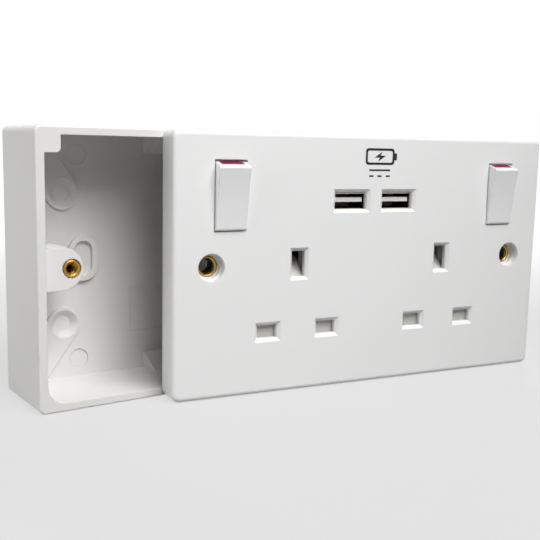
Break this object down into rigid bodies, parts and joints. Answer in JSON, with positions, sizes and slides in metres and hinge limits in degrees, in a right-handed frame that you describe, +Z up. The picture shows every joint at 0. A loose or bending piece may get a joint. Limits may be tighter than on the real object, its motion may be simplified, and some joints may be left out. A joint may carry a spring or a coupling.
{
  "type": "usb wall socket",
  "caption": "White double switched wall socket plate with charging ports, standing beside its open surface box.",
  "frame": {"origin": "midway between the plate's two fixing holes, on the plane where the plate seats", "axes": "+X right along the plate, +Y back into the wall, +Z up"},
  "size_m": [0.191, 0.0602, 0.086],
  "materials": {
    "plate_white": "smooth moulded, satin gloss",
    "rocker_white": "smooth moulded, gloss",
    "shutter_white": "moulded",
    "housing_white": "moulded",
    "box_white": "smooth moulded, satin gloss",
    "brass": "turned",
    "contact_brass": "pressed sheet",
    "gilded": "plated",
    "steel": "plated",
    "spring_steel": "drawn wire",
    "port_steel": "folded sheet",
    "tongue_white": "moulded",
    "plunger_black": "moulded",
    "board_green": "coated laminate",
    "ferrite": "sintered",
    "coil_tape": "wound tape",
    "capacitor_black": "sleeved",
    "chip_black": "moulded"
  },
  "bodies": {
    "socket": {"front_plate": "plate_white", "insulator_plate": "housing_white", "mechanism_housing": "housing_white", "housing_screws": "steel", "terminal_screws": "steel", "left_fixing_bush": "brass", "right_fixing_bush": "brass", "left_box_insert": "brass", "right_box_insert": "brass", "line_bar": "contact_brass", "neutral_bar": "contact_brass", "earth_strap": "contact_brass", "left_line_contact": "contact_brass", "right_line_contact": "contact_brass", "line_terminal": "brass", "neutral_terminal": "brass", "earth_terminal": "brass", "left_shutter_spring": "spring_steel", "right_shutter_spring": "spring_steel", "usb_board": "board_green", "transformer_core": "ferrite", "transformer_coil": "coil_tape", "smoothing_capacitors": "capacitor_black", "control_chip": "chip_black", "left_usb_shell": "port_steel", "right_usb_shell": "port_steel", "left_usb_tongue": "tongue_white", "right_usb_tongue": "tongue_white", "left_usb_contacts": "gilded", "right_usb_contacts": "gilded", "back_box": "box_white"},
    "left_rocker_body": {"left_rocker": "rocker_white", "left_plunger": "plunger_black", "left_plunger_spring": "spring_steel"},
    "left_arm_body": {"left_switch_arm": "contact_brass"},
    "left_shutter_body": {"left_shutter": "shutter_white"},
    "right_rocker_body": {"right_rocker": "rocker_white", "right_plunger": "plunger_black", "right_plunger_spring": "spring_steel"},
    "right_arm_body": {"right_switch_arm": "contact_brass"},
    "right_shutter_body": {"right_shutter": "shutter_white"}
  },
  "joints": [
    {"name": "left_rocker_tilt", "type": "hinge", "parent": "socket", "child": "left_rocker_body", "pos_m": [-0.054, -0.0064, 0.0227], "axis": [1, 0, 0], "range_deg": [-16, 0]},
    {"name": "left_arm_tilt", "type": "hinge", "parent": "socket", "child": "left_arm_body", "pos_m": [-0.054, 0.008, 0.0227], "axis": [1, 0, 0], "range_deg": [0, 10]},
    {"name": "left_shutter_slide", "type": "slide", "parent": "socket", "child": "left_shutter_body", "axis": [0, 0, -1], "range_m": [0, 0.0056], "stiffness_N_per_m": 80, "springref_m": -0.003, "deforming": ["left_shutter_spring"]},
    {"name": "right_rocker_tilt", "type": "hinge", "parent": "socket", "child": "right_rocker_body", "pos_m": [0.054, -0.0064, 0.0227], "axis": [1, 0, 0], "range_deg": [-16, 0]},
    {"name": "right_arm_tilt", "type": "hinge", "parent": "socket", "child": "right_arm_body", "pos_m": [0.054, 0.008, 0.0227], "axis": [1, 0, 0], "range_deg": [0, 10]},
    {"name": "right_shutter_slide", "type": "slide", "parent": "socket", "child": "right_shutter_body", "axis": [0, 0, -1], "range_m": [0, 0.0056], "stiffness_N_per_m": 80, "springref_m": -0.003, "deforming": ["right_shutter_spring"]}
  ],
  "couplings": [
    {"joint": "left_arm_tilt", "follows": "left_rocker_tilt", "ratio": -0.625},
    {"joint": "right_arm_tilt", "follows": "right_rocker_tilt", "ratio": -0.625}
  ]
}
